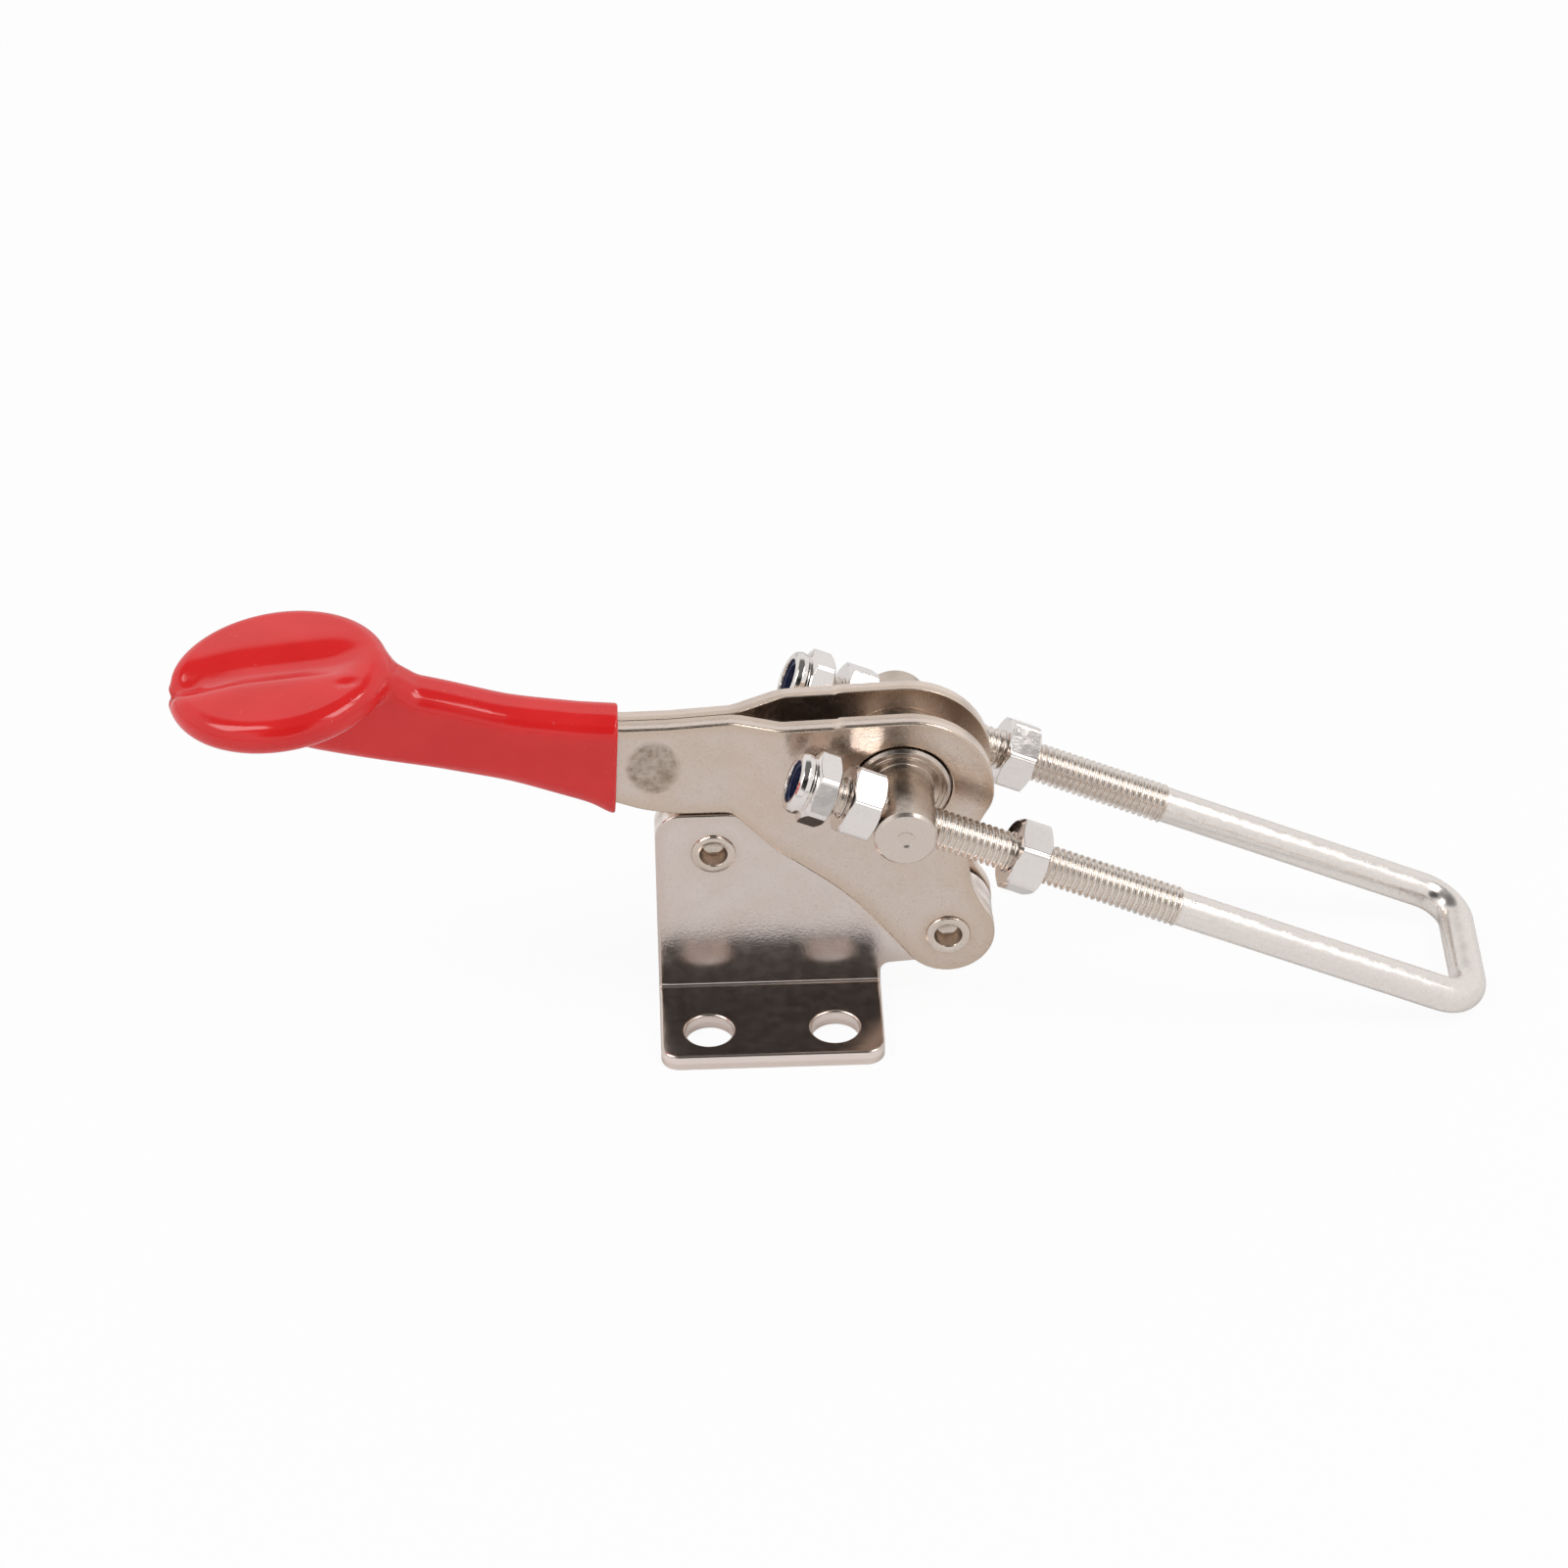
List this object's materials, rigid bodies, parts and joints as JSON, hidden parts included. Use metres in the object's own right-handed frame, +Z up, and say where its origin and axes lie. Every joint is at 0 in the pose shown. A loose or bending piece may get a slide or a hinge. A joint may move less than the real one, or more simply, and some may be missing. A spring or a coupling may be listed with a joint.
{
  "type": "latch toggle clamp",
  "caption": "Horizontal pull-action latch toggle clamp: flanged steel base, two-plate lever with a dipped vinyl thumb paddle, and a threaded U-hook held by nuts in a cross pin.",
  "frame": {"origin": "middle of the four base holes, on the underside of the base", "axes": "+X towards the U-hook's end bar, +Y towards the far side, +Z up from the mounting surface"},
  "size_m": [0.1947, 0.039, 0.0633],
  "materials": {
    "plate": "satin nickel plate",
    "rivet": "satin nickel plate",
    "pin": "turned and plated",
    "hook": "bright plated rod",
    "nut": "bright plated",
    "nylon": "moulded nylon",
    "grip": "glossy dipped vinyl"
  },
  "bodies": {
    "base": {"bracket_near": "plate", "bracket_far": "plate", "joint_rivet": "rivet", "pivot_rivet": "rivet", "pivot_washer_near": "rivet", "pivot_washer_far": "rivet"},
    "lever": {"lever_plate_near": "plate", "lever_plate_far": "plate", "grip": "grip"},
    "cross_pin": {"cross_pin_near": "pin", "cross_pin_far": "pin"},
    "hook": {"u_hook": "hook"},
    "back_nut_near": {"back_nut_near": "nut"},
    "back_nut_far": {"back_nut_far": "nut"},
    "front_nut_near": {"front_nut_near": "nut"},
    "front_nut_far": {"front_nut_far": "nut"},
    "lock_nut_near": {"lock_nut_near": "nut", "nylon_ring_near": "nylon"},
    "lock_nut_far": {"lock_nut_far": "nut", "nylon_ring_far": "nylon"}
  },
  "joints": [
    {"name": "lever_pivot", "type": "hinge", "parent": "base", "child": "lever", "pos_m": [0.0268, 0, 0.0133], "axis": [0, 1, 0], "range_deg": [0, 100]},
    {"name": "hook_swing", "type": "hinge", "parent": "lever", "child": "cross_pin", "pos_m": [0.0198, 0, 0.041], "axis": [0, 1, 0], "range_deg": [-150, 20]},
    {"name": "hook_slide", "type": "slide", "parent": "cross_pin", "child": "hook", "axis": [-0.9127, 0, 0.4085], "range_m": [0, 0.0095]},
    {"name": "front_nut_near_run", "type": "slide", "parent": "hook", "child": "front_nut_near", "axis": [0.9127, 0, -0.4085], "range_m": [0, 0.022]},
    {"name": "front_nut_far_run", "type": "slide", "parent": "hook", "child": "front_nut_far", "axis": [0.9127, 0, -0.4085], "range_m": [0, 0.022]},
    {"name": "back_nut_near_run", "type": "slide", "parent": "hook", "child": "back_nut_near", "axis": [-0.9127, 0, 0.4085], "range_m": [0, 0.002]},
    {"name": "back_nut_far_run", "type": "slide", "parent": "hook", "child": "back_nut_far", "axis": [-0.9127, 0, 0.4085], "range_m": [0, 0.002]},
    {"name": "lock_nut_near_run", "type": "slide", "parent": "hook", "child": "lock_nut_near", "axis": [-0.9127, 0, 0.4085], "range_m": [0, 0.002]},
    {"name": "lock_nut_far_run", "type": "slide", "parent": "hook", "child": "lock_nut_far", "axis": [-0.9127, 0, 0.4085], "range_m": [0, 0.002]}
  ]
}
